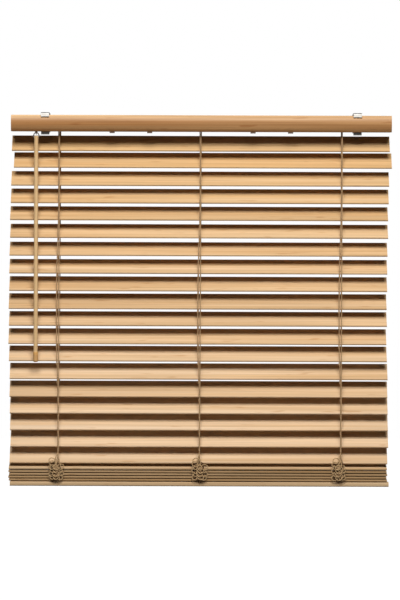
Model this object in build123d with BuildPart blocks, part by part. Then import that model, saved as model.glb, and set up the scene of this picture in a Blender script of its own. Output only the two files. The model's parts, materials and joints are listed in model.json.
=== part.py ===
# Bamboo venetian blind: a channel headrail in two clip brackets, a bamboo valance on the
# channel's front, slats hung on three cord ladders, a hooked wand that turns them, and a
# spring-held lift whose lowest slats are gathered on the bottom rail.
# Millimetres, Z up, front towards -Y, origin at the middle of the brackets' top plane.
from build123d import *
from math import acos, atan2, cos, degrees, hypot, radians, sin, tan
import os

os.makedirs("parts", exist_ok=True)

# Overall sizes
blind_width = 600
ladder_inset = 78
seat_gap = 0.3
cut_over = 2

# Brackets: a bent strip that holds the channel
bracket_sheet = 1.2
bracket_width = 13
bracket_inset = 55
bracket_play = 4.6
bracket_bend = 1.6
screw_hole = 4.5
tongue_drop = 6.6
lever_drop = 34.6

# Headrail: a rolled channel, open at the top
rail_depth = 40
rail_height = 22.5
rail_wall = 0.8
rail_lip = 4
rail_bend = 1.6
end_inset = 2
cap_plate = 1.6
cap_plug = 6
cord_slot_length = 12
cord_slot_depth = 10

# Valance: a board with a bowed front
valance_height = 25.9
valance_inset = 1.5
valance_thickness = 9
valance_edge = 4
valance_round = 1.2
valance_drop = 3.9
valance_standoff = 3
clip_width = 8
clip_foot = 6
clip_foot_height = 2
clip_hook = 3.5
clip_hook_height = 0.9
clip_shares = (-0.63, -0.365, 0.365, 0.63)

# Slats
slat_inset = 3
slat_width = 33
slat_thickness = 3.2
slat_edge = 0.8
first_slat_drop = 47.6
slat_pitch = 27.6
slack_pitch = 26.1
slack_slats = 4
slat_wander = 6
slat_settle = 1.2
slat_tilts = (
    47.5, 46.5, 43, 43, 40, 40, 39.5, 41.5, 42.5, 46,
    41.5, 46, 45, 47.5, 48, 48, 49, 48.5, 46.5,
)
slat_settle_shares = (
    0, 1, -0.1, 0, 0.25, 0.1, -0.35, -0.35, -0.1, -0.1,
    0.1, 0, 0.35, 0.2, 0, 0, 0, 0, 0,
)
slat_wander_shares = (
    -0.12, 0.42, -0.27, -0.36, -0.54, -0.51, -0.66, -0.7, -0.71, -0.84,
    -0.76, -0.88, -0.73, -0.53, -0.56, -0.47, -0.41, -0.3, -0.51,
)

# Gathered slats on the bottom rail
stack_pitch = 4.35
stack_lean = 11
stack_drop = 8.7
stack_wander_shares = (-0.67, -0.72, -0.57, -0.77, -0.62)
stack_count = len(stack_wander_shares)

# Bottom rail
bottom_inset = 2.5
bottom_depth = 34.6
bottom_height = 7
bottom_round = 2.2
bottom_shift = -1.7
plug_radius = 6
plug_height = 3
plug_lip = 1

# Cords
ladder_cord_radius = 0.6
lift_cord_radius = 0.6
ladder_bow = -4.7
ladder_lean = -1.2
ladder_steps = 8
cord_sides = 6
lift_run_drop = 22.5
lift_run_step = 2.5
lift_bend = 3
rung_width = 2.2
rung_thickness = 0.6
ladder_end_rise = 1
bunch_width = 24
bunch_height = 42
bunch_depth = 6
bunch_edge = 2.4
bunch_corner = 8
bunch_shift = -3

# Tilt rod, drums and cradles
rod_drop = 12.2
rod_flats = 5.5
rod_left_over = 13
rod_right_over = 14
rod_fit = 0.1
drum_flange_radius = 6.5
drum_core_radius = 5.2
drum_journal_radius = 4.2
drum_flange = 1
drum_core_length = 8
drum_journal = 3
cradle_cheek = 2.4
cradle_depth = 15
cradle_base = 1.6
cradle_over_rod = 1.5

# Wand tilter
wand_inset = 41
wand_reach = 1.5
eye_drop = 32.3
wheel_teeth = 12
wheel_radius = 5.8
wheel_tooth = 1.1
tooth_flank = 76
wheel_width = 5
wheel_journal = 3.4
worm_radius = 2.3
worm_below = 7
worm_above = 3
stem_radius = 2
eye_radius = 2.5
eye_hole_radius = 1.4
eye_thickness = 1.2
tilter_cheek = 2.2
tilter_front = 13.6
tilter_rear = 7.4
tilter_wall = 1.6
tilter_floor_drop = 21.1
tilter_top_drop = 6.1
stem_notch_width = 7
stem_notch_depth = 5.5
stem_notch_height = 5

# Wand and its hook
hook_radius = 0.8
hook_top_half = 2.4
hook_half_width = 4.3
hook_shoulder = 3.4
hook_height = 6.6
hook_bend = 1.2
hook_sides = 8
wand_radius = 3.3
wand_length = 355
wand_edge = 0.6
wand_top_over = 2.2
wand_tip_radius = 3.9
wand_tip = 15
wand_tip_taper = 2
wand_tip_round = 2.4

# Spring motor
motor_length = 110
motor_height = 11
motor_round = 1.2
spool_inset = 25
spool_radius = 14
spool_core_radius = 9
spool_flange = 1.2
spool_height = 7.4
spool_pin_radius = 2
motor_lid_radius = 15
motor_lid_depth = 0.8

# Places worked out from the sizes above
rail_top = -(bracket_sheet + bracket_play)
rail_floor = rail_top - rail_height
rail_front = -rail_depth / 2
rail_length = blind_width - 2 * (end_inset + cap_plate)
floor_top = rail_floor + rail_wall
valance_back = rail_front - valance_standoff
valance_front = valance_back - valance_thickness
valance_shoulder = valance_back - valance_edge
valance_top = -valance_drop
valance_bottom = valance_top - valance_height
valance_middle = (valance_top + valance_bottom) / 2
rod_height = -rod_drop
ladder_span = blind_width / 2 - ladder_inset
ladder_places = (-ladder_span, 0, ladder_span)
bracket_places = (bracket_inset - blind_width / 2, blind_width / 2 - bracket_inset)
clip_places = [ladder_span * share for share in clip_shares]
wand_place = wand_inset - blind_width / 2
wand_stand_off = rail_depth / 2 + wand_reach
motor_place = ladder_span / 2
spool_offset = motor_length / 2 - spool_inset

slat_count = len(slat_tilts)
regular_slats = slat_count - slack_slats
slat_heights = [
    slat_settle * share
    - first_slat_drop
    - slat_pitch * min(n, regular_slats - 1)
    - slack_pitch * max(0, n - regular_slats + 1)
    for n, share in enumerate(slat_settle_shares)
]
slat_length = blind_width - 2 * slat_inset
bottom_length = blind_width - 2 * bottom_inset
slat_half = slat_width / 2
slat_reach = max(
    slat_half * cos(radians(a)) + slat_thickness / 2 * sin(radians(a)) for a in slat_tilts
)
ladder_cord_off = slat_reach + seat_gap + ladder_cord_radius
lift_cord_off = hypot(slat_half, slat_thickness / 2) + 2 * seat_gap + lift_cord_radius
last_edge = slat_heights[-1] - slat_half * sin(radians(slat_tilts[-1]))

# The leaning top slat of the stack lies under the lowest hanging slat
stack_top_height = last_edge - stack_drop
stack_heights = [stack_top_height - stack_pitch * n for n in range(1, stack_count)]
lean_height = stack_top_height + slat_half * sin(radians(stack_lean))
bottom_top = stack_heights[-1] - stack_pitch + slat_thickness / 2
bottom_floor = bottom_top - bottom_height

ladder_top = floor_top
ladder_bottom = last_edge + ladder_end_rise
bunch_back = lift_cord_off + lift_cord_radius + seat_gap
bunch_middle = bottom_floor + bunch_height / 2 + bottom_round

stem_side = wheel_radius + worm_radius + seat_gap
eye_fall = eye_drop - rod_drop
eye_distance = hypot(wand_stand_off, eye_fall)
stem_slant = degrees(acos(stem_side / eye_distance)) - degrees(atan2(eye_fall, wand_stand_off))
worm_place = (eye_distance**2 - stem_side**2) ** 0.5
hook_low = -eye_drop - hook_height
wand_top = hook_low + wand_top_over
wand_floor = wand_top - wand_length
motor_top = floor_top + motor_height


def ladder_shift(height):
    """Sideways shift of a ladder at a height: straight at its top, bowed in its middle."""
    share = (height - ladder_top) / (ladder_bottom - ladder_top)
    bow = 4 * ladder_bow - ladder_lean
    return share * bow + share**2 * (ladder_lean - bow)


def slat_plane(shift, height, tilt):
    """Plane across a slat at its middle: x runs to the slat's rear edge, y to its upper face."""
    rise = radians(tilt)
    across = (0, cos(rise), sin(rise))
    return Plane(origin=(shift, 0, height), x_dir=across, z_dir=(1, 0, 0))


# Headrail
with BuildPart() as headrail:
    with BuildSketch(Plane.YZ):
        with Locations((0, rail_top - rail_height / 2)):
            RectangleRounded(rail_depth, rail_height, rail_bend)
            RectangleRounded(
                rail_depth - 2 * rail_wall, rail_height - 2 * rail_wall, rail_bend - rail_wall,
                mode=Mode.SUBTRACT,
            )
        with Locations((0, rail_top)):
            Rectangle(rail_depth - 2 * rail_lip, 2 * cut_over, mode=Mode.SUBTRACT)
    extrude(amount=rail_length / 2, both=True)
    slot_off = rail_depth / 2 - rail_bend - cord_slot_depth / 2
    with BuildSketch(Plane.XY.offset(rail_floor)):
        with Locations(*[(x, side * slot_off) for x in ladder_places for side in (-1, 1)]):
            Rectangle(cord_slot_length, cord_slot_depth)
    extrude(amount=cut_over, both=True, mode=Mode.SUBTRACT)
    with BuildSketch(Plane.XY.offset(rail_floor)):
        with Locations((wand_place, rail_front)):
            Rectangle(stem_notch_width, 2 * stem_notch_depth)
    extrude(amount=stem_notch_height, both=True, mode=Mode.SUBTRACT)
headrail.part.label = "headrail"
export_step(headrail.part, "parts/headrail.step")

# Caps that close the channel's ends
with BuildPart() as end_caps:
    for side in (-1, 1):
        end = Plane.YZ.offset(side * rail_length / 2)
        with BuildSketch(end):
            with Locations((0, rail_top - rail_height / 2)):
                RectangleRounded(rail_depth, rail_height, rail_bend)
        extrude(amount=side * cap_plate)
        with BuildSketch(end):
            with Locations((0, rail_top - rail_height / 2)):
                RectangleRounded(
                    rail_depth - 2 * (rail_wall + seat_gap),
                    rail_height - 2 * (rail_wall + seat_gap),
                    rail_bend - rail_wall,
                )
        extrude(amount=-side * cap_plug)
end_caps.part.label = "end_caps"
export_step(end_caps.part, "parts/end_caps.step")

# Valance
with BuildPart() as valance:
    with BuildSketch(Plane.YZ):
        with BuildLine():
            Polyline(
                (valance_shoulder, valance_bottom),
                (valance_back, valance_bottom),
                (valance_back, valance_top),
                (valance_shoulder, valance_top),
            )
            ThreePointArc(
                (valance_shoulder, valance_top),
                (valance_front, valance_middle),
                (valance_shoulder, valance_bottom),
            )
        make_face()
    extrude(amount=blind_width / 2 - valance_inset, both=True)
    front_edges = valance.edges().filter_by(Axis.X).sort_by(Axis.Y)[:2]
    fillet(front_edges, radius=valance_round)
valance.part.label = "valance"
export_step(valance.part, "parts/valance.step")

# Brackets: tongue over the valance, top plate, back, and a lever under the channel's front
tongue_off = valance_front + valance_round - bracket_sheet / 2
bracket_back = rail_depth / 2 + seat_gap + bracket_sheet / 2
bracket_face = bracket_back + bracket_sheet / 2
bracket_low = rail_floor - seat_gap - bracket_sheet / 2
lever_off = rail_front - valance_standoff / 2
with BuildPart() as brackets:
    for place in bracket_places:
        with BuildSketch(Plane.YZ.offset(place)):
            with BuildLine():
                FilletPolyline(
                    (tongue_off, -tongue_drop),
                    (tongue_off, -bracket_sheet / 2),
                    (bracket_back, -bracket_sheet / 2),
                    (bracket_back, bracket_low),
                    (lever_off, bracket_low),
                    (lever_off, -lever_drop),
                    radius=bracket_bend,
                )
            trace(line_width=bracket_sheet)
        extrude(amount=bracket_width / 2, both=True)
        with Locations((place, 0, 0)):
            Hole(radius=screw_hole / 2, depth=cut_over)
        with Locations(Plane((place, bracket_face, rail_top - rail_height / 2), z_dir=(0, 1, 0))):
            Hole(radius=screw_hole / 2, depth=cut_over)
brackets.part.label = "brackets"
export_step(brackets.part, "parts/brackets.step")

# Clips between the channel and the valance, each with a foot under the valance
clip_plate = valance_standoff - 2 * seat_gap
clip_face = rail_front - seat_gap
clip_low = valance_bottom - seat_gap - clip_foot_height
clip_high = rail_top + seat_gap + clip_hook_height
with BuildPart() as valance_clips:
    for place in clip_places:
        with BuildSketch(Plane.YZ.offset(place)):
            with Locations((clip_face, clip_low)):
                Rectangle(clip_plate, clip_high - clip_low, align=(Align.MAX, Align.MIN))
                Rectangle(clip_plate + clip_foot, clip_foot_height, align=(Align.MAX, Align.MIN))
            with Locations((clip_face, clip_high)):
                Rectangle(clip_hook, clip_hook_height, align=(Align.MIN, Align.MAX))
        extrude(amount=clip_width / 2, both=True)
valance_clips.part.label = "valance_clips"
export_step(valance_clips.part, "parts/valance_clips.step")

# Tilt rod
with BuildPart() as tilt_rod:
    rod_left = wand_place - rod_left_over
    rod_right = ladder_span + rod_right_over
    with BuildSketch(Plane.YZ.offset(rod_left)):
        with Locations((0, rod_height)):
            RegularPolygon(rod_flats / 2, 6, major_radius=False)
    extrude(amount=rod_right - rod_left)
tilt_rod.part.label = "tilt_rod"
export_step(tilt_rod.part, "parts/tilt_rod.step")

# Drums that the ladders hang from
rod_axis = Axis((0, 0, rod_height), (1, 0, 0))
with BuildPart() as ladder_drums:
    core_half = drum_core_length / 2
    flange_end = core_half + drum_flange
    for place in ladder_places:
        with BuildSketch(Plane.XZ):
            with BuildLine():
                Polyline(
                    (place - flange_end - drum_journal, rod_height),
                    (place - flange_end - drum_journal, rod_height + drum_journal_radius),
                    (place - flange_end, rod_height + drum_journal_radius),
                    (place - flange_end, rod_height + drum_flange_radius),
                    (place - core_half, rod_height + drum_flange_radius),
                    (place - core_half, rod_height + drum_core_radius),
                    (place + core_half, rod_height + drum_core_radius),
                    (place + core_half, rod_height + drum_flange_radius),
                    (place + flange_end, rod_height + drum_flange_radius),
                    (place + flange_end, rod_height + drum_journal_radius),
                    (place + flange_end + drum_journal, rod_height + drum_journal_radius),
                    (place + flange_end + drum_journal, rod_height),
                    close=True,
                )
            make_face()
        revolve(axis=rod_axis)
    with BuildSketch(Plane.YZ):
        with Locations((0, rod_height)):
            RegularPolygon(rod_flats / 2 + rod_fit, 6, major_radius=False)
    extrude(amount=blind_width / 2, both=True, mode=Mode.SUBTRACT)
ladder_drums.part.label = "ladder_drums"
export_step(ladder_drums.part, "parts/ladder_drums.step")

# Cradles on the channel's floor that carry the drums by their journals
cheek_middle = flange_end + drum_journal / 2
bearing_radius = drum_journal_radius + seat_gap
with BuildPart() as drum_cradles:
    for place in ladder_places:
        with BuildSketch(Plane.XY.offset(floor_top)):
            with Locations((place, 0)):
                Rectangle(2 * cheek_middle + cradle_cheek, cradle_depth)
        extrude(amount=cradle_base)
        for side in (-1, 1):
            with BuildSketch(Plane.YZ.offset(place + side * cheek_middle)):
                with Locations((0, floor_top)):
                    Rectangle(
                        cradle_depth, rod_height + cradle_over_rod - floor_top,
                        align=(Align.CENTER, Align.MIN),
                    )
                with Locations((0, rod_height)):
                    Circle(bearing_radius, mode=Mode.SUBTRACT)
                    Rectangle(
                        2 * bearing_radius, cut_over + cradle_over_rod,
                        align=(Align.CENTER, Align.MIN), mode=Mode.SUBTRACT,
                    )
            extrude(amount=cradle_cheek / 2, both=True)
drum_cradles.part.label = "drum_cradles"
export_step(drum_cradles.part, "parts/drum_cradles.step")

# Toothed wheel of the tilter, on the rod
wheel_root = wheel_radius - wheel_tooth
tooth_base = 2 * wheel_root * sin(radians(90 / wheel_teeth))
with BuildPart() as tilter_wheel:
    with BuildSketch(Plane.YZ.offset(wand_place)):
        with Locations((0, rod_height)):
            Circle(wheel_root)
            with PolarLocations(wheel_root - wheel_tooth, wheel_teeth):
                Trapezoid(
                    tooth_base, 2 * wheel_tooth, tooth_flank, rotation=-90,
                    align=(Align.CENTER, Align.MIN),
                )
    extrude(amount=wheel_width / 2, both=True)
    with BuildSketch(Plane.YZ.offset(wand_place)):
        with Locations((0, rod_height)):
            Circle(drum_journal_radius)
    extrude(amount=wheel_width / 2 + wheel_journal, both=True)
    with BuildSketch(Plane.YZ.offset(wand_place)):
        with Locations((0, rod_height)):
            RegularPolygon(rod_flats / 2 + rod_fit, 6, major_radius=False)
    extrude(amount=wheel_width / 2 + wheel_journal, both=True, mode=Mode.SUBTRACT)
tilter_wheel.part.label = "tilter_wheel"
export_step(tilter_wheel.part, "parts/tilter_wheel.step")

# Slanted stem of the tilter: worm above, eye for the wand's hook below
slant = radians(stem_slant)
stem_plane = Plane(
    origin=(wand_place, -wand_stand_off, -eye_drop), x_dir=(1, 0, 0), z_dir=(0, sin(slant), cos(slant))
)
with BuildPart() as tilter_stem:
    with BuildSketch(stem_plane.offset(eye_radius - eye_thickness / 2)):
        Circle(stem_radius)
    extrude(amount=worm_place - eye_radius)
    with BuildSketch(stem_plane.offset(worm_place - worm_below)):
        Circle(worm_radius)
    extrude(amount=worm_below + worm_above)
    eye_plane = Plane(origin=stem_plane.origin, x_dir=stem_plane.z_dir, z_dir=(1, 0, 0))
    with BuildSketch(eye_plane):
        Circle(eye_radius)
        Circle(eye_hole_radius, mode=Mode.SUBTRACT)
    extrude(amount=eye_thickness / 2, both=True)
tilter_stem.part.label = "tilter_stem"
export_step(tilter_stem.part, "parts/tilter_stem.step")

# Housing of the tilter: a block with a well for the wheel and a bore for the stem
tilter_half = wheel_width / 2 + 2 * seat_gap + tilter_cheek
with BuildPart() as tilter_housing:
    with BuildSketch(Plane.YZ.offset(wand_place)):
        with Locations((-tilter_front, floor_top)):
            Rectangle(
                tilter_front + tilter_rear, -tilter_top_drop - floor_top, align=(Align.MIN, Align.MIN)
            )
    extrude(amount=tilter_half, both=True)
    with BuildSketch(Plane.XY.offset(-tilter_floor_drop)):
        with Locations((wand_place, -tilter_front + tilter_wall)):
            Rectangle(
                2 * (tilter_half - tilter_cheek), tilter_front + tilter_rear - 2 * tilter_wall,
                align=(Align.CENTER, Align.MIN),
            )
    extrude(amount=tilter_floor_drop, mode=Mode.SUBTRACT)
    with BuildSketch(Plane.YZ.offset(wand_place)):
        with Locations((0, rod_height)):
            Circle(bearing_radius)
            Rectangle(2 * bearing_radius, rod_drop, align=(Align.CENTER, Align.MIN))
    extrude(amount=tilter_half + cut_over, both=True, mode=Mode.SUBTRACT)
    with BuildSketch(stem_plane):
        Circle(worm_radius + seat_gap)
    extrude(amount=worm_place + worm_above, mode=Mode.SUBTRACT)
tilter_housing.part.label = "tilter_housing"
export_step(tilter_housing.part, "parts/tilter_housing.step")

# Wire hook between the stem's eye and the wand
with BuildPart() as wand_hook:
    with BuildLine(Plane((wand_place, -wand_stand_off, -eye_drop), x_dir=(1, 0, 0), z_dir=(0, -1, 0))):
        wire = FilletPolyline(
            (hook_top_half, 0),
            (hook_half_width, -hook_shoulder),
            (hook_half_width, -hook_height),
            (-hook_half_width, -hook_height),
            (-hook_half_width, -hook_shoulder),
            (-hook_top_half, 0),
            radius=hook_bend,
            close=True,
        )
    with BuildSketch(Plane(wire @ 0, z_dir=wire % 0)):
        RegularPolygon(hook_radius, hook_sides)
    sweep()
wand_hook.part.label = "wand_hook"
export_step(wand_hook.part, "parts/wand_hook.step")

# Wand
with BuildPart() as wand:
    with BuildSketch(Plane((wand_place, -wand_stand_off, 0), x_dir=(1, 0, 0), z_dir=(0, -1, 0))):
        tip_start = wand_floor + wand_tip
        with BuildLine():
            Polyline(
                (0, wand_floor),
                (wand_tip_radius - wand_tip_round, wand_floor),
            )
            RadiusArc(
                (wand_tip_radius - wand_tip_round, wand_floor),
                (wand_tip_radius, wand_floor + wand_tip_round),
                -wand_tip_round,
            )
            Polyline(
                (wand_tip_radius, wand_floor + wand_tip_round),
                (wand_tip_radius, tip_start),
                (wand_radius, tip_start + wand_tip_taper),
                (wand_radius, wand_top - wand_edge),
                (wand_radius - wand_edge, wand_top),
                (0, wand_top),
                (0, wand_floor),
            )
        make_face()
    revolve(axis=Axis((wand_place, -wand_stand_off, 0), (0, 0, 1)))
    with BuildSketch(Plane.YZ.offset(wand_place)):
        with Locations((-wand_stand_off, hook_low)):
            Circle(hook_radius + seat_gap)
    extrude(amount=wand_radius, both=True, mode=Mode.SUBTRACT)
wand.part.label = "wand"
export_step(wand.part, "parts/wand.step")

# Spring motor case with an open well for its cord spool
with BuildPart() as spring_motor_case:
    with BuildSketch(Plane.XY.offset(floor_top)):
        with Locations((motor_place, 0)):
            Rectangle(motor_length, rail_depth - 2 * (rail_bend + seat_gap))
    extrude(amount=motor_height)
    fillet(spring_motor_case.edges().filter_by(Axis.Z), radius=motor_round)
    well_depth = spool_height + 2 * seat_gap
    with BuildSketch(Plane.XY.offset(motor_top - well_depth)):
        with Locations((motor_place + spool_offset, 0)):
            Circle(spool_radius + seat_gap)
            Circle(spool_pin_radius, mode=Mode.SUBTRACT)
    extrude(amount=well_depth, mode=Mode.SUBTRACT)
    with BuildSketch(Plane.XY.offset(motor_top - motor_lid_depth)):
        with Locations((motor_place - spool_offset, 0)):
            Circle(motor_lid_radius)
            Circle(motor_lid_radius - motor_round, mode=Mode.SUBTRACT)
    extrude(amount=motor_lid_depth, mode=Mode.SUBTRACT)
spring_motor_case.part.label = "spring_motor_case"
export_step(spring_motor_case.part, "parts/spring_motor_case.step")

# Cord spool on the motor's pin
spool_floor = motor_top - well_depth + seat_gap
with BuildPart() as cord_spool:
    with BuildSketch(Plane.XY.offset(spool_floor)):
        with Locations((motor_place + spool_offset, 0)):
            Circle(spool_core_radius)
    extrude(amount=spool_height)
    for level in (spool_floor, spool_floor + spool_height - spool_flange):
        with BuildSketch(Plane.XY.offset(level)):
            with Locations((motor_place + spool_offset, 0)):
                Circle(spool_radius)
        extrude(amount=spool_flange)
    with Locations((motor_place + spool_offset, 0, spool_floor + spool_height)):
        Hole(radius=spool_pin_radius + seat_gap, depth=spool_height)
cord_spool.part.label = "cord_spool"
export_step(cord_spool.part, "parts/cord_spool.step")

# Lift cords: down the front and back of each ladder, and along the channel to the motor
with BuildPart() as lift_cords:
    for number, place in enumerate(ladder_places):
        run_height = -lift_run_drop + (lift_run_step if number == 0 else 0)
        motor_end = motor_place + (motor_length / 2 if place > motor_place else -motor_length / 2)
        for side in (-1, 1):
            cord_off = side * lift_cord_off
            with BuildLine():
                FilletPolyline(
                    (place + ladder_lean, cord_off, bottom_floor),
                    (place, cord_off, run_height),
                    (motor_end, cord_off, run_height),
                    radius=lift_bend,
                )
            with BuildSketch(Plane((place + ladder_lean, cord_off, bottom_floor))):
                RegularPolygon(lift_cord_radius, cord_sides)
            sweep()
lift_cords.part.label = "lift_cords"
export_step(lift_cords.part, "parts/lift_cords.step")


def ladder_cords(side):
    """Three ladder cords on one side: a strand out from each drum, then one long bow down the slats."""
    with BuildPart() as cords:
        for place in ladder_places:
            cord_off = side * ladder_cord_off
            drum_side = side * (drum_core_radius + ladder_cord_radius + rod_fit)
            with BuildLine():
                Line((place, drum_side, rod_height), (place, cord_off, ladder_top + rod_fit))
            with BuildSketch(Plane((place, drum_side, rod_height))):
                RegularPolygon(ladder_cord_radius, cord_sides)
            sweep()
            for step in range(ladder_steps + 1):
                level = ladder_top + (ladder_bottom - ladder_top) * step / ladder_steps
                with BuildSketch(Plane((place + ladder_shift(level), cord_off, level))):
                    RegularPolygon(ladder_cord_radius, cord_sides)
            loft(ruled=True)
    return cords.part


ladder_front_cords = ladder_cords(-1)
ladder_front_cords.label = "ladder_front_cords"
export_step(ladder_front_cords, "parts/ladder_front_cords.step")
ladder_rear_cords = ladder_cords(1)
ladder_rear_cords.label = "ladder_rear_cords"
export_step(ladder_rear_cords, "parts/ladder_rear_cords.step")

# Hanging slats and the ladder rungs that carry them
rung_drop = slat_thickness / 2 + seat_gap + rung_thickness / 2
rung_half = ladder_cord_off - ladder_cord_radius - seat_gap
for number, (height, tilt) in enumerate(zip(slat_heights, slat_tilts), start=1):
    shift = slat_wander * slat_wander_shares[number - 1]
    with BuildPart() as slat:
        with BuildSketch(slat_plane(shift, height, tilt)) as section:
            Rectangle(slat_width, slat_thickness)
            chamfer(section.vertices(), length=slat_edge)
        extrude(amount=slat_length / 2, both=True)
    slat.part.label = f"slat_{number:02d}"
    export_step(slat.part, f"parts/slat_{number:02d}.step")

    slope = tan(radians(tilt))
    rung_length = 2 * rung_half / cos(radians(tilt)) - rung_thickness * slope
    with BuildPart() as rungs:
        for place in ladder_places:
            with BuildSketch(slat_plane(place + ladder_shift(height), height, tilt)):
                with Locations((-rung_drop * slope, -rung_drop)):
                    Rectangle(rung_length, rung_thickness)
            extrude(amount=rung_width / 2, both=True)
    rungs.part.label = f"rungs_{number:02d}"
    export_step(rungs.part, f"parts/rungs_{number:02d}.step")

# Gathered slats: one leaning on a flat pile
with BuildPart() as stacked_slats:
    levels = [lean_height] + stack_heights
    leans = [stack_lean] + [0] * len(stack_heights)
    for level, lean, share in zip(levels, leans, stack_wander_shares):
        with BuildSketch(slat_plane(slat_wander * share, level, lean)) as section:
            Rectangle(slat_width, slat_thickness)
            chamfer(section.vertices(), length=slat_edge)
        extrude(amount=slat_length / 2, both=True)
stacked_slats.part.label = "stacked_slats"
export_step(stacked_slats.part, "parts/stacked_slats.step")

# Bottom rail with grooves for the lift cords and seats for the plugs
with BuildPart() as bottom_rail:
    with BuildSketch(Plane.YZ.offset(bottom_shift)):
        with Locations((0, bottom_top - bottom_height / 2)):
            RectangleRounded(bottom_depth, bottom_height, bottom_round)
    extrude(amount=bottom_length / 2, both=True)
    groove_half = lift_cord_radius + seat_gap
    with BuildSketch(Plane.XY.offset(bottom_floor)):
        groove_places = [
            (place + ladder_lean, side * lift_cord_off) for place in ladder_places for side in (-1, 1)
        ]
        with Locations(*groove_places):
            Rectangle(2 * groove_half, 2 * groove_half)
    extrude(amount=bottom_height, mode=Mode.SUBTRACT)
    with BuildSketch(Plane.XY.offset(bottom_floor)):
        with Locations(*[(place + ladder_lean, 0) for place in ladder_places]):
            Circle(plug_radius + seat_gap)
    extrude(amount=plug_height, mode=Mode.SUBTRACT)
bottom_rail.part.label = "bottom_rail"
export_step(bottom_rail.part, "parts/bottom_rail.step")

# Button plugs in the bottom rail's underside
with BuildPart() as rail_plugs:
    with BuildSketch(Plane.XY.offset(bottom_floor)):
        with Locations(*[(place + ladder_lean, 0) for place in ladder_places]):
            Circle(plug_radius)
    extrude(amount=plug_height)
    chamfer(rail_plugs.faces().sort_by(Axis.Z)[: len(ladder_places)].edges(), length=plug_lip)
rail_plugs.part.label = "rail_plugs"
export_step(rail_plugs.part, "parts/rail_plugs.step")

# Bunches of slack ladder cord in front of the gathered slats and behind them
with BuildPart() as cord_bunches:
    for side in (-1, 1):
        with BuildSketch(Plane.XZ.offset(-side * bunch_back)) as outline:
            with Locations(*[(place + bunch_shift, bunch_middle) for place in ladder_places]):
                Rectangle(bunch_width, bunch_height)
            chamfer(outline.vertices(), length=bunch_corner)
        extrude(amount=-side * bunch_depth)
    chamfer(cord_bunches.faces().filter_by(Axis.Y).edges(), length=bunch_edge)
cord_bunches.part.label = "cord_bunches"
export_step(cord_bunches.part, "parts/cord_bunches.step")
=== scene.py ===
"""Bamboo venetian blind: finishes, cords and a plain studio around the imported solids."""
import json
import logging
from dataclasses import dataclass
from enum import Enum
from math import cos, pi, radians, sin, tan

import bmesh
import bpy
from mathutils import Matrix, Vector


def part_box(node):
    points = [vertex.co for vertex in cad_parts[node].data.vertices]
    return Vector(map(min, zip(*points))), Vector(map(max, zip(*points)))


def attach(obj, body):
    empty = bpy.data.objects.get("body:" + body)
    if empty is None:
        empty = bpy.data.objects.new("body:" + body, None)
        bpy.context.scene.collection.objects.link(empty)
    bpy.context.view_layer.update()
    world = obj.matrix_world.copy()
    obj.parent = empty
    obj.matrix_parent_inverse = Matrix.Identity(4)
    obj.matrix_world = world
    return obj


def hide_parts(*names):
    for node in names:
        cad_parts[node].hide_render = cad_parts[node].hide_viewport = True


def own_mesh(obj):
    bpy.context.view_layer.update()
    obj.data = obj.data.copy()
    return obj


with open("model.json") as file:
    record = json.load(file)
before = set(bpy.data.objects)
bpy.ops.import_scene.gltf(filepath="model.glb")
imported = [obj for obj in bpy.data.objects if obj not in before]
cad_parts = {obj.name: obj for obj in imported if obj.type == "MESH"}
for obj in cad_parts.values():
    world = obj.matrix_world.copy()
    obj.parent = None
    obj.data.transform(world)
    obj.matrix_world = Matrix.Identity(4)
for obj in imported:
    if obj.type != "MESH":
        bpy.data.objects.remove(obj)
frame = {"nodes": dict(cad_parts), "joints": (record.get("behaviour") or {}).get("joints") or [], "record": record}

logging.basicConfig(level=logging.INFO, format="%(message)s")
log = logging.getLogger("blind")

MM = 0.001
SHARP_ANGLE = radians(32)
Colour = tuple[float, float, float, float]
Point = tuple[float, float, float]


class Side(Enum):
    """Side of the slats that a cord hangs on."""

    FRONT = -1
    REAR = 1


class Lay(Enum):
    """How a cord lies."""

    TAUT = "taut"
    HANGING = "hanging"
    COILED = "coiled"


def tone(red: float, green: float, blue: float) -> Colour:
    """Linear colour of a screen colour.

    Args:
        red: red, 0 to 255.
        green: green, 0 to 255.
        blue: blue, 0 to 255.

    Returns:
        The colour with an alpha of 1.
    """
    def linear(value: float) -> float:
        """Linear value of one channel."""
        share = value / 255
        return share / 12.92 if share <= 0.04045 else ((share + 0.055) / 1.055) ** 2.4

    return (linear(red), linear(green), linear(blue), 1)


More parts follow.
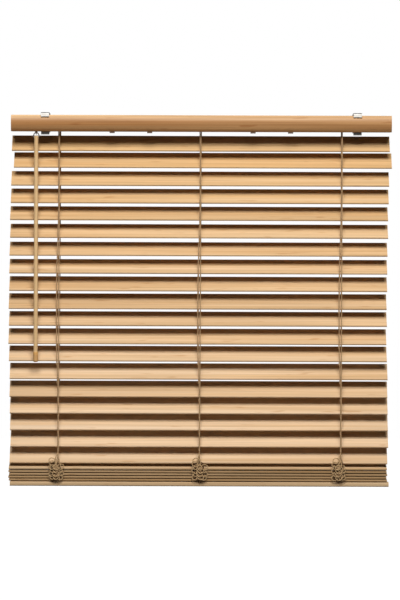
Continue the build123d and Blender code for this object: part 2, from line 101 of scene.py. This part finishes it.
class Shader:
    """A material in the making: its Principled shader and the nodes that feed it."""

    def __init__(self, name: str) -> None:
        """Starts a material.

        Args:
            name: the material's name.
        """
        self.material = bpy.data.materials.new(name)
        self.material.use_nodes = True
        self.tree = self.material.node_tree
        self.surface = self.tree.nodes["Principled BSDF"]
        self.place = self.add("ShaderNodeTexCoord").outputs["Object"]

    def add(self, kind: str, **settings: object) -> bpy.types.Node:
        """Adds a node.

        Args:
            kind: the node's type.
            settings: properties of the node.

        Returns:
            The node.
        """
        node = self.tree.nodes.new(kind)
        for key, value in settings.items():
            setattr(node, key, value)
        return node

    def link(self, source: bpy.types.NodeSocket, target: bpy.types.NodeSocket) -> None:
        """Joins two sockets.

        Args:
            source: the output.
            target: the input.
        """
        self.tree.links.new(source, target)

    def noise(self, stretch: Point, detail: float, shift: float = 0) -> bpy.types.NodeSocket:
        """Noise on stretched object coordinates.

        Args:
            stretch: cycles per metre along X, Y and Z.
            detail: octaves of the noise.
            shift: offset that makes this noise differ from another.

        Returns:
            The noise's value.
        """
        mapping = self.add("ShaderNodeMapping")
        mapping.inputs["Scale"].default_value = stretch
        mapping.inputs["Location"].default_value = (shift, shift, shift)
        self.link(self.place, mapping.inputs["Vector"])
        noise = self.add("ShaderNodeTexNoise")
        noise.inputs["Scale"].default_value = 1
        noise.inputs["Detail"].default_value = detail
        self.link(mapping.outputs["Vector"], noise.inputs["Vector"])
        return noise.outputs["Fac"]

    def height(self, low: float, high: float) -> bpy.types.NodeSocket:
        """Place along Z as a share.

        Args:
            low: Z at which the share is 0.
            high: Z at which it is 1.

        Returns:
            The share.
        """
        split = self.add("ShaderNodeSeparateXYZ")
        self.link(self.place, split.inputs["Vector"])
        span = self.add("ShaderNodeMapRange")
        span.inputs["From Min"].default_value = low
        span.inputs["From Max"].default_value = high
        self.link(split.outputs["Z"], span.inputs["Value"])
        return span.outputs["Result"]

    def ramp(self, value: bpy.types.NodeSocket, *stops: tuple[float, Colour]) -> bpy.types.NodeSocket:
        """Colour for a value.

        Args:
            value: the value.
            stops: places on the ramp, each with its colour, lowest first.

        Returns:
            The colour.
        """
        node = self.add("ShaderNodeValToRGB")
        steps = node.color_ramp.elements
        while len(steps) < len(stops):
            steps.new(1)
        for step, (place, colour) in zip(steps, stops):
            step.position = place
            step.color = colour
        self.link(value, node.inputs["Fac"])
        return node.outputs["Color"]

    def mix(
        self, way: str, first: bpy.types.NodeSocket, second: bpy.types.NodeSocket, share: float = 1
    ) -> bpy.types.NodeSocket:
        """Mixes two colours.

        Args:
            way: Blender's blend type.
            first: the lower colour.
            second: the upper colour.
            share: strength of the upper colour.

        Returns:
            The mixed colour.
        """
        node = self.add("ShaderNodeMix", data_type="RGBA", blend_type=way)
        node.inputs["Factor"].default_value = share
        self.link(first, node.inputs["A"])
        self.link(second, node.inputs["B"])
        return node.outputs["Result"]

    def bump(self, value: bpy.types.NodeSocket, depth: float) -> None:
        """Roughens the surface.

        Args:
            value: height from 0 to 1.
            depth: height of 1 in metres.
        """
        node = self.add("ShaderNodeBump")
        node.inputs["Strength"].default_value = 0.6
        node.inputs["Distance"].default_value = depth
        self.link(value, node.inputs["Height"])
        self.link(node.outputs["Normal"], self.surface.inputs["Normal"])


def grey(value: float) -> Colour:
    """Grey of one linear value.

    Args:
        value: the value, 0 to 1.

    Returns:
        The colour with an alpha of 1.
    """
    return (value, value, value, 1)


@dataclass(frozen=True)
class BambooFinish:
    """Lacquered bamboo whose fibres run along X; low and high multiply its colour by height across span as painted
    shade.
    """

    name: str
    pale: Colour
    deep: Colour
    mark: Colour
    roughness: float = 0.55
    gloss: float = 0.05
    # Painted shade: low is the colour multiplier at the lower end of span, high at its upper end.
    low: Colour = (1, 1, 1, 1)
    high: Colour = (1, 1, 1, 1)
    span: tuple[float, float] = (-0.6, 0)
    fibre: Point = (5, 620, 620)
    streak: Point = (1.8, 150, 150)
    board: float = 34
    marks: Point = (24, 190, 190)
    mark_share: float = 0.4
    fibre_shade: float = 0.8
    warm: Colour = (1, 0.96, 0.9, 1)
    dull: Colour = (0.88, 0.84, 0.78, 1)
    fibre_depth: float = 0.12 * MM

    def material(self) -> bpy.types.Material:
        """The finish as a material."""
        shader = Shader(self.name)
        fibre = shader.noise(self.fibre, 3)
        streak = shader.noise(self.streak, 2, shift=3.1)
        board = shader.noise((1.1, 12, self.board), 1, shift=7.7)
        marks = shader.noise(self.marks, 1, shift=11.3)
        base = shader.ramp(streak, (0.34, self.pale), (0.7, self.deep))
        fibres = shader.ramp(fibre, (0.3, grey(self.fibre_shade)), (0.7, grey(1)))
        base = shader.mix("MULTIPLY", base, fibres)
        boards = shader.ramp(board, (0.3, self.dull), (0.5, self.warm), (0.7, grey(1)))
        base = shader.mix("MULTIPLY", base, boards)
        spots = shader.ramp(marks, (0.66, grey(1)), (0.76, self.mark))
        base = shader.mix("MULTIPLY", base, spots, self.mark_share)
        # Painted shade by height: the colour is multiplied from low to high across span.
        height_shade = shader.ramp(shader.height(*self.span), (0, self.low), (1, self.high))
        colour = shader.mix("MULTIPLY", base, height_shade)
        shader.link(colour, shader.surface.inputs["Base Color"])
        shader.surface.inputs["Roughness"].default_value = self.roughness
        shader.surface.inputs["Specular IOR Level"].default_value = self.gloss
        shader.bump(fibre, self.fibre_depth)
        return shader.material


@dataclass(frozen=True)
class PlainFinish:
    """Metal, enamel or plastic in one colour with faint wear; bands multiply it by height as painted shade."""

    name: str
    colour: Colour
    worn: Colour
    roughness: float = 0.45
    metallic: float = 0
    wear: Point = (90, 90, 90)
    bands: tuple[tuple[float, Colour], ...] = ()

    def material(self) -> bpy.types.Material:
        """The finish as a material."""
        shader = Shader(self.name)
        wear = shader.noise(self.wear, 3)
        colour = shader.ramp(wear, (0.4, self.colour), (0.72, self.worn))
        # Painted shade: bands darken the colour by height.
        if self.bands:
            low, high = self.bands[0][0], self.bands[-1][0]
            stops = [((height - low) / (high - low), band) for height, band in self.bands]
            colour = shader.mix("MULTIPLY", colour, shader.ramp(shader.height(low, high), *stops))
        shader.link(colour, shader.surface.inputs["Base Color"])
        shader.surface.inputs["Roughness"].default_value = self.roughness
        shader.surface.inputs["Metallic"].default_value = self.metallic
        return shader.material


@dataclass(frozen=True)
class CordFinish:
    """Braided cord: two tones in slanting bands."""

    name: str
    light: Colour
    dark: Colour
    braid: Point = (1100, 550, 1100)
    braid_depth: float = 0.1 * MM
    roughness: float = 0.85
    gloss: float = 0.1

    def material(self) -> bpy.types.Material:
        """The finish as a material."""
        shader = Shader(self.name)
        mapping = shader.add("ShaderNodeMapping")
        mapping.inputs["Scale"].default_value = self.braid
        shader.link(shader.place, mapping.inputs["Vector"])
        wave = shader.add("ShaderNodeTexWave", wave_type="BANDS", bands_direction="DIAGONAL")
        wave.inputs["Scale"].default_value = 0.3
        wave.inputs["Distortion"].default_value = 2
        shader.link(mapping.outputs["Vector"], wave.inputs["Vector"])
        colour = shader.ramp(wave.outputs["Fac"], (0.2, self.dark), (0.7, self.light))
        shader.link(colour, shader.surface.inputs["Base Color"])
        shader.surface.inputs["Roughness"].default_value = self.roughness
        shader.surface.inputs["Specular IOR Level"].default_value = self.gloss
        shader.bump(wave.outputs["Fac"], self.braid_depth)
        return shader.material


@dataclass(frozen=True)
class WandFinish:
    """Lacquered wand: grain along Z, a golden ring at the tip and a darker end below it."""

    name: str
    body: Colour
    streak: Colour
    ring: Colour
    end: Colour
    ring_top: float
    ring_bottom: float
    floor: float
    grain: Point = (500, 500, 9)
    seam: float = 0.001
    roughness: float = 0.45
    gloss: float = 0.2

    def material(self) -> bpy.types.Material:
        """The finish as a material."""
        shader = Shader(self.name)
        grain = shader.noise(self.grain, 3)
        body = shader.ramp(grain, (0.35, self.body), (0.7, self.streak))
        share_top = (self.ring_top - self.floor) / -self.floor
        share_bottom = (self.ring_bottom - self.floor) / -self.floor
        tip = shader.ramp(
            shader.height(self.floor, 0), (0, self.end), (share_bottom, self.end),
            (share_bottom + self.seam, self.ring), (share_top, self.ring), (share_top + self.seam, grey(1)),
        )
        colour = shader.mix("MULTIPLY", body, tip)
        shader.link(colour, shader.surface.inputs["Base Color"])
        shader.surface.inputs["Roughness"].default_value = self.roughness
        shader.surface.inputs["Specular IOR Level"].default_value = self.gloss
        return shader.material


def add_mesh(name: str, mesh: bpy.types.Mesh, material: bpy.types.Material) -> bpy.types.Object:
    """Adds a piece at the origin.

    Args:
        name: the piece's name.
        mesh: its mesh, already in place.
        material: its finish.

    Returns:
        The piece.
    """
    mesh.materials.clear()
    mesh.materials.append(material)
    piece = bpy.data.objects.new(name, mesh)
    bpy.context.scene.collection.objects.link(piece)
    return piece


def dress(material: bpy.types.Material, *nodes: str) -> None:
    """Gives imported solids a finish, with smooth shading over their round faces.

    Args:
        material: the finish.
        nodes: names of the solids.
    """
    for name in nodes:
        solid = frame["nodes"][name]
        solid.data.materials.clear()
        solid.data.materials.append(material)
        solid.data.shade_smooth()
        solid.data.set_sharp_from_angle(angle=SHARP_ANGLE)
        log.info("dressed %s in %s", name, material.name)


@dataclass
class Cord:
    """A cord along a given route."""

    name: str
    route: list[Point]
    diameter: float
    body: str
    slot: str
    lay: Lay
    sides: int = 2
    fineness: int = 4
    free: bool = True

    def line(self) -> bpy.types.Object:
        """The route as a smooth curve object."""
        curve = bpy.data.curves.new(self.name, "CURVE")
        curve.dimensions = "3D"
        spline = curve.splines.new("NURBS")
        spline.points.add(len(self.route) - 1)
        for point, place in zip(spline.points, self.route):
            point.co = (*place, 1)
        spline.order_u = 3
        spline.use_endpoint_u = True
        spline.resolution_u = self.fineness
        drawn = bpy.data.objects.new(self.name + "_line", curve)
        bpy.context.scene.collection.objects.link(drawn)
        return drawn

    def build(self, material: bpy.types.Material, *nodes: str) -> bpy.types.Object:
        """Makes the cord a tube that rides on its body.

        Args:
            material: its finish.
            nodes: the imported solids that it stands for.

        Returns:
            The tube.
        """
        drawn = self.line()
        thread = bpy.data.meshes.new_from_object(drawn)
        drawn.data.bevel_depth = self.diameter / 2
        drawn.data.bevel_resolution = self.sides
        drawn.data.use_fill_caps = True
        bpy.context.view_layer.update()
        tube = bpy.data.meshes.new_from_object(drawn)
        bpy.data.objects.remove(drawn)
        bpy.data.meshes.remove(thread)
        piece = add_mesh(self.name, tube, material)
        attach(piece, self.body)
        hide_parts(*nodes)
        return piece


@dataclass
class Slat:
    """One hanging slat: its number, height and tilt, read from the frame."""

    number: int
    height: float
    tilt: float

    @property
    def node(self) -> str:
        """The slat's solid."""
        return f"slat_{self.number:02d}"

    @property
    def rungs(self) -> str:
        """The solid of the rungs under the slat."""
        return f"rungs_{self.number:02d}"


@dataclass(frozen=True)
class Column:
    """One column of slack loops: middle along X, radius, number of loops, height of the first, depth."""

    middle: float
    radius: float
    turns: int
    head: float
    depth: float


@dataclass
class Ladders:
    """The three cord ladders, their rungs, the lift cords and the bunches of slack cord."""

    slats: list[Slat]
    places: tuple[float, ...]
    material: bpy.types.Material
    loop_material: bpy.types.Material
    # Painted shade: a darker copy of the cord for the innermost loops.
    shaded_loop_material: bpy.types.Material
    cord_off: float = 14.65 * MM
    lift_off: float = 17.78 * MM
    top: float = -27.5 * MM
    bottom: float = -549.37 * MM
    lean: float = -1.2 * MM
    sways: tuple[tuple[float, float], ...] = (
        (-27.5 * MM, -0.9 * MM), (-150 * MM, -1.2 * MM), (-190 * MM, -2.3 * MM), (-240 * MM, -3.8 * MM),
        (-290 * MM, -4.3 * MM), (-370 * MM, -4 * MM), (-415 * MM, -2 * MM), (-450 * MM, -1.2 * MM),
        (-600 * MM, -1.2 * MM),
    )
    rail_floor: float = -586.22 * MM
    cord: float = 1.4 * MM
    loop_cord: float = 1.5 * MM
    strand: float = 1.0 * MM
    strand_apart: float = 0.75 * MM
    rung_reach: float = 13.75 * MM
    rung_drop: float = 2.2 * MM
    knot: float = 1.1 * MM
    level_gap: float = 0.45 * MM
    raise_travel: float = 288 * MM
    drum_side: float = 5.9 * MM
    rod_height: float = -12.2 * MM
    run_height: float = -22.5 * MM
    run_step: float = 2.5 * MM
    motor_ends: tuple[float, float] = (56 * MM, 166 * MM)
    split: float = 0.55 * MM
    wave: float = 0.72 * MM
    rear_shift: float = 0.8 * MM
    flare: float = 0.9 * MM
    lift_top: float = -28 * MM
    plumb_shares: tuple[float, ...] = (0.25, 0.5, 0.7, 0.8)
    wavy_shares: tuple[float, ...] = (0.845, 0.875, 0.905, 0.935)
    still_share: float = 0.97
    run_lead: float = 8 * MM
    columns: tuple[Column, ...] = (
        Column(-5.0 * MM, 5.2 * MM, 6, -543 * MM, 20.7 * MM),
        Column(6.4 * MM, 5.1 * MM, 4, -553.5 * MM, 20.7 * MM),
        Column(0.8 * MM, 5.0 * MM, 4, -554 * MM, 22.5 * MM),
        Column(0.4 * MM, 6.6 * MM, 5, -552 * MM, 19.6 * MM),
    )
    loop_steps: int = 16
    loop_change: float = 0.1
    loop_wander: float = 1.2 * MM
    loop_lap: float = 1.2 * MM
    lead_rise: float = 12 * MM
    lead_steps: int = 6
    bunch_foot: float = -580 * MM
    bunch_aside: tuple[float, ...] = (-4.9 * MM, -1.6 * MM, -5.2 * MM)
    bunch_spread: tuple[float, ...] = (1, 1.07, 0.85)

    def shift(self, height: float) -> float:
        """Sideways shift of a ladder at a height.

        Args:
            height: height in metres.

        Returns:
            The shift along X.
        """
        for (high, first), (low, last) in zip(self.sways, self.sways[1:]):
            if height >= low:
                return first + (last - first) * (high - height) / (high - low)
        return self.lean

    def rung_end(self, slat: Slat, side: Side) -> float:
        """Height at which a slat's rung meets the cord on one side.

        Args:
            slat: the slat.
            side: the cord's side.

        Returns:
            The height in metres.
        """
        rise = side.value * self.rung_reach * tan(slat.tilt)
        return slat.height + rise - self.rung_drop / cos(slat.tilt)

    def build_ladder_cords(self) -> None:
        """Ladder cords: kinked at each rung, bowed over their length, up to the drums inside."""
        for side in Side:
            name = f"ladder_{side.name.lower()}"
            off = side.value * self.cord_off
            for number, place in enumerate(self.places, start=1):
                knots = [self.rung_end(slat, side) for slat in self.slats]
                lie = place - self.split + (self.rear_shift if side is Side.REAR else 0)
                head = lie + self.shift(self.top) + side.value * self.flare
                route = [(head, off, self.top)]
                for upper, lower in zip([self.top] + knots, knots):
                    middle = (upper + lower) / 2
                    route.append((lie + self.shift(middle) - self.level_gap, off, middle))
                    route.append((lie + self.shift(lower) + self.level_gap, off, lower))
                if knots[-1] > self.bottom:
                    route.append((lie + self.lean, off, self.bottom))
                cord = Cord(f"{name}_cord_{number}", route, self.cord, name, "ladder_cord", Lay.HANGING)
                piece = cord.build(self.material, f"{name}_cords")
                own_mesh(piece)
                drum = side.value * self.drum_side
                strand = [
                    (head, off, self.top),
                    ((head + place) / 2, (off + drum) / 2, (self.top + self.rod_height) / 2),
                    (place, drum, self.rod_height),
                ]
                Cord(
                    f"{name}_drum_strand_{number}", strand, self.cord, "headrail", "ladder_cord", Lay.TAUT,
                    free=False,
                ).build(self.material, f"{name}_cords")

    def build_rungs(self) -> None:
        """Two strands under each slat at each ladder, knotted to the cords."""
        for slat in self.slats:
            work = bmesh.new()
            across = Vector((self.rear_shift / 2, self.rung_reach, self.rung_reach * tan(slat.tilt)))
            turn = Vector((0, 0, 1)).rotation_difference(across).to_matrix().to_4x4()
            for place in self.places:
                middle = Vector((place + self.shift(slat.height) - self.split, 0, slat.height))
                middle.x += self.rear_shift / 2
                middle.z -= self.rung_drop / cos(slat.tilt)
                for way in (-1, 1):
                    spot = middle + Vector((way * self.strand_apart, 0, 0))
                    bmesh.ops.create_cone(
                        work, cap_ends=True, segments=6, radius1=self.strand / 2, radius2=self.strand / 2,
                        depth=2 * across.length, matrix=Matrix.Translation(spot) @ turn,
                    )
                    end = middle + way * across
                    bmesh.ops.create_icosphere(
                        work, subdivisions=2, radius=self.knot, matrix=Matrix.Translation(end)
                    )
            mesh = bpy.data.meshes.new(slat.rungs)
            work.to_mesh(mesh)
            work.free()
            piece = add_mesh(f"rung_strands_{slat.number:02d}", mesh, self.material)
            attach(piece, slat.node)
            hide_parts(slat.rungs)
            log.info("rung strands under slat %d", slat.number)

    def build_lift_cords(self) -> None:
        """Lift cords: plumb along the slats to the bottom rail, and along the channel to the motor."""
        start = self.lift_top
        drop = start - self.rail_floor
        for side in Side:
            off = side.value * self.lift_off
            for number, place in enumerate(self.places, start=1):
                right = place + self.shift(self.top) + self.split / 2
                right += self.rear_shift if side is Side.REAR else 0
                foot = place + self.lean
                name = f"lift_{side.name.lower()}_{number}"
                route = [(right, off, start)]
                for share in self.plumb_shares:
                    route.append((right + share * (foot - right), off, start - share * drop))
                for step, share in enumerate(self.wavy_shares):
                    sway = self.wave if step % 2 else -self.wave
                    route.append((foot + sway, off, start - share * drop))
                route.append((foot, off, start - self.still_share * drop))
                route.append((foot, off, self.rail_floor))
                cord = Cord(f"{name}_cord", route, self.cord, "headrail", "lift_cord", Lay.TAUT)
                piece = cord.build(self.material, "lift_cords")
                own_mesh(piece)
                run = self.run_height + (self.run_step if number == 1 else 0)
                end = self.motor_ends[place > self.motor_ends[1]]
                way = 1 if end > place else -1
                corner = [
                    (right, off, start),
                    (right, off, run),
                    (right + way * self.run_lead, off, run),
                    ((right + end) / 2, off, run),
                    (end, off, run),
                ]
                Cord(f"{name}_run", corner, self.cord, "headrail", "lift_cord", Lay.TAUT).build(
                    self.material, "lift_cords"
                )

    def build_bunches(self) -> None:
        """Slack ladder cord in columns of loops at each ladder, in front and behind; the innermost column is in a
        darker copy of the cord as painted shade.
        """
        bunches = list(zip(self.places, self.bunch_aside, self.bunch_spread))
        for side in Side:
            for number, (place, aside, spread) in enumerate(bunches, start=1):
                for rank, column in enumerate(self.columns, start=1):
                    centre = place + aside + column.middle * spread
                    phase = number * 1.3 + rank * 2.1
                    route = self.loops(column, place + self.lean, centre, phase)
                    route = [(x, side.value * y, z) for x, y, z in route]
                    name = f"slack_{side.name.lower()}_{number}_{rank}"
                    # Painted shade: the innermost column takes the darker copy of the cord.
                    outer = rank < len(self.columns)
                    Cord(
                        name, route, self.loop_cord, "bottom_rail", "ladder_cord", Lay.COILED, free=outer
                    ).build(self.loop_material if outer else self.shaded_loop_material, "cord_bunches")

    def loops(self, column: Column, line: float, centre: float, phase: float) -> list[Point]:
        """Route of a slack cord: off its ladder in an S, then down in loops.

        Args:
            column: the column of loops.
            line: place of the ladder along X.
            centre: middle of the loops along X.
            phase: where the slow changes in size and place begin.

        Returns:
            The route, with Y counted away from the middle.
        """
        way = 1 if centre > line else -1
        drop = column.head - self.bunch_foot - column.radius
        steps = column.turns * self.loop_steps
        coil: list[Point] = []
        for step in range(steps + 1):
            turn = 2 * pi * step / self.loop_steps
            reach = column.radius * (1 + self.loop_change * sin(0.41 * turn + phase))
            x = centre + self.loop_wander * sin(0.53 * turn + phase) - way * reach * cos(turn)
            z = column.head - drop * step / steps - reach * sin(turn)
            coil.append((x, column.depth + self.loop_lap * sin(turn), z))
        first = self.cord_off + self.loop_cord
        lead: list[Point] = []
        for step in range(self.lead_steps):
            share = step / self.lead_steps
            ease = share * share * (3 - 2 * share)
            lead.append((
                line + (coil[0][0] - line) * ease,
                first + (column.depth - first) * ease,
                column.head + self.lead_rise * (1 - share),
            ))
        return lead + coil


@dataclass
class Studio:
    """Camera as in the photograph, one soft key light, a weak fill and a pale floor."""

    distance: float = 6.3
    frame_height: float = 944.6 * MM
    aim: Point = (-1.34 * MM, 0, -293.55 * MM)
    roll: float = -0.18
    sensor: float = 36
    floor_height: float = -2.6
    floor_size: float = 60
    key_size: tuple[float, float] = (2.6, 1.7)
    key_power: float = 216
    key_place: Point = (0.1, -2.95, 2.95)
    fill_power: float = 5
    fill_place: Point = (-0.6, 3.4, -1.0)
    ambient: float = 0.005
    floor_grey: float = 0.6
    floor_glow: float = 0.97
    view_reach: float = 200

    def add_camera(self) -> None:
        """Level camera in front of the blind."""
        data = bpy.data.cameras.new("camera")
        data.sensor_width = self.sensor
        data.lens = self.sensor * self.distance / self.frame_height
        data.clip_end = self.view_reach
        camera = bpy.data.objects.new("camera", data)
        camera.location = Vector(self.aim) - Vector((0, self.distance, 0))
        camera.rotation_euler = (pi / 2, radians(self.roll), 0)
        bpy.context.scene.collection.objects.link(camera)
        bpy.context.scene.camera = camera

    def add_light(self, name: str, place: Point, power: float) -> None:
        """Broad lamp aimed at the blind.

        Args:
            name: the lamp's name.
            place: its place from the middle of the blind.
            power: its power in watts.
        """
        data = bpy.data.lights.new(name, "AREA")
        data.shape = "RECTANGLE"
        data.size, data.size_y = self.key_size
        data.energy = power
        lamp = bpy.data.objects.new(name, data)
        lamp.location = Vector(self.aim) + Vector(place)
        lamp.rotation_euler = Vector(place).to_track_quat("Z", "Y").to_euler()
        bpy.context.scene.collection.objects.link(lamp)

    def add_world(self) -> None:
        """White to the camera and to mirrors, dim to the rest."""
        world = bpy.data.worlds.new("studio")
        bpy.context.scene.world = world
        world.use_nodes = True
        tree = world.node_tree
        seen = tree.nodes.new("ShaderNodeLightPath")
        either = tree.nodes.new("ShaderNodeMath")
        either.operation = "MAXIMUM"
        tree.links.new(seen.outputs["Is Camera Ray"], either.inputs[0])
        tree.links.new(seen.outputs["Is Glossy Ray"], either.inputs[1])
        most = tree.nodes.new("ShaderNodeMath")
        most.operation = "MAXIMUM"
        tree.links.new(either.outputs[0], most.inputs[0])
        tree.links.new(seen.outputs["Is Transmission Ray"], most.inputs[1])
        strength = tree.nodes.new("ShaderNodeMapRange")
        strength.inputs["To Min"].default_value = self.ambient
        strength.inputs["To Max"].default_value = 1
        tree.links.new(most.outputs[0], strength.inputs["Value"])
        sky = tree.nodes["Background"]
        sky.inputs["Color"].default_value = grey(1)
        tree.links.new(strength.outputs["Result"], sky.inputs["Strength"])

    def add_floor(self) -> None:
        """Pale floor well below the blind, white to the camera but for a shadow."""
        work = bmesh.new()
        bmesh.ops.create_grid(
            work, x_segments=1, y_segments=1, size=self.floor_size,
            matrix=Matrix.Translation((0, 0, self.floor_height)),
        )
        mesh = bpy.data.meshes.new("floor")
        work.to_mesh(mesh)
        work.free()
        shader = Shader("floor")
        shader.surface.inputs["Base Color"].default_value = grey(self.floor_grey)
        shader.surface.inputs["Roughness"].default_value = 0.9
        seen = shader.add("ShaderNodeLightPath")
        shader.surface.inputs["Emission Color"].default_value = grey(1)
        glow = shader.add("ShaderNodeMath", operation="MULTIPLY")
        glow.inputs[1].default_value = self.floor_glow
        shader.link(seen.outputs["Is Camera Ray"], glow.inputs[0])
        shader.link(glow.outputs[0], shader.surface.inputs["Emission Strength"])
        add_mesh("floor", mesh, shader.material)

    def build(self) -> None:
        """Sets the whole studio up."""
        bpy.context.scene.view_settings.view_transform = "Standard"
        self.add_camera()
        self.add_light("key", self.key_place, self.key_power)
        self.add_light("fill", self.fill_place, self.fill_power)
        self.add_world()
        self.add_floor()


def read_slats() -> list[Slat]:
    """Hanging slats from the frame's hinges and couplings.

    Returns:
        The slats, top first.
    """
    level_turn = 90
    behaviour = frame["record"]["behaviour"]
    ratios = {c["joint"]: c["ratio"] for c in behaviour["couplings"]}
    slats = []
    for joint in frame["joints"]:
        if joint["name"].startswith("slat_"):
            number = int(joint["child"].split("_")[1])
            tilt = radians(ratios[joint["name"]] * level_turn)
            slats.append(Slat(number, joint["pos_m"][2], tilt))
    return sorted(slats, key=lambda slat: slat.number)


def dress_solids(slats: list[Slat]) -> None:
    """Gives every rigid solid its finish.

    Args:
        slats: the hanging slats.
    """
    straw = BambooFinish(
        "bamboo_slat", tone(240, 212, 180), tone(224, 190, 150), tone(205, 170, 130),
        # Painted shade: high darkens the slats towards the top of the blind, from Z -0.6 m up to 0, in place of
        # less light on the upper slats.
        high=(0.86, 0.74, 0.52, 1),
    )
    edge = BambooFinish(
        "bamboo_stack", tone(240, 212, 176), tone(222, 188, 144), tone(190, 160, 120),
        # Painted shade: low darkens the stacked slats below Z -0.5565 m, fully below -0.5595 m, where they lie in
        # shade under the hanging slats.
        low=(0.62, 0.56, 0.48, 1), span=(-0.5595, -0.5565), gloss=0,
    )
    honey = BambooFinish(
        "bamboo_valance", tone(232, 196, 152), tone(200, 156, 110), tone(200, 160, 120), board=90, gloss=0.14,
        # Painted shade: low darkens the lower part of the bowed front, below Z -6.5 mm and fully below -12.5 mm.
        roughness=0.4, low=(0.68, 0.54, 0.4, 1), span=(-0.0125, -0.0065),
    )
    rail = BambooFinish(
        "bamboo_rail", tone(228, 198, 160), tone(202, 170, 130), tone(190, 160, 120), board=120
    )
    wand_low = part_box("wand")[0].z
    wand = WandFinish(
        "wand_wood", tone(226, 190, 140), tone(206, 168, 118), tone(252, 232, 192), tone(238, 222, 202),
        ring_top=wand_low + 16 * MM, ring_bottom=wand_low + 11 * MM, floor=wand_low,
    )
    enamel = PlainFinish("headrail_enamel", tone(168, 132, 96), tone(150, 116, 82), 0.4)
    zinc = PlainFinish(
        "bracket_steel", tone(240, 236, 228), tone(214, 208, 198), 0.45, 0.5,
        # Painted shade by height: the lever below Z -24 mm and the top edge of the plate above Z -2.2 mm are
        # darkened.
        bands=((-0.03, grey(0.16)), (-0.024, grey(1)), (-0.0022, grey(1)), (-0.0012, grey(0.1))),
    )
    wire = PlainFinish("hook_steel", tone(132, 126, 124), tone(104, 98, 96), 0.35, 1)
    drawn = PlainFinish("rod_steel", tone(170, 170, 172), tone(140, 140, 142), 0.3, 1)
    smoked = PlainFinish("clip_plastic", tone(98, 76, 58), tone(84, 64, 48), 0.3)
    moulded = PlainFinish("tan_plastic", tone(150, 112, 76), tone(138, 102, 68), 0.5)
    white = PlainFinish("white_plastic", tone(226, 224, 218), tone(214, 212, 206), 0.45)
    dress(straw.material(), *[slat.node for slat in slats])
    dress(edge.material(), "stacked_slats")
    dress(honey.material(), "valance")
    dress(rail.material(), "bottom_rail")
    dress(wand.material(), "wand")
    dress(enamel.material(), "headrail")
    dress(zinc.material(), "brackets")
    dress(wire.material(), "tilter_stem", "wand_hook")
    dress(drawn.material(), "tilt_rod")
    dress(smoked.material(), "valance_clips")
    dress(moulded.material(), "end_caps", "rail_plugs")
    dress(
        white.material(), "tilter_housing", "drum_cradles", "spring_motor_case", "ladder_drums",
        "tilter_wheel", "cord_spool",
    )


def main() -> None:
    """Builds the dressed blind and its studio."""
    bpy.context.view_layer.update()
    slats = read_slats()
    dress_solids(slats)
    ladder_place = 222 * MM
    cord = CordFinish("ladder_cord", tone(200, 166, 126), tone(156, 122, 86))
    loops = CordFinish("slack_cord", tone(206, 174, 130), tone(140, 108, 72))
    # Painted shade: a darker copy of the slack cord for the innermost column of loops.
    shaded_slack_cord = CordFinish("slack_cord_inside", tone(104, 76, 48), tone(66, 46, 28))
    ladders = Ladders(
        slats, (-ladder_place, 0, ladder_place), cord.material(), loops.material(), shaded_slack_cord.material()
    )
    ladders.build_ladder_cords()
    ladders.build_rungs()
    ladders.build_lift_cords()
    ladders.build_bunches()
    Studio().build()


if __name__ == "__main__":
    main()
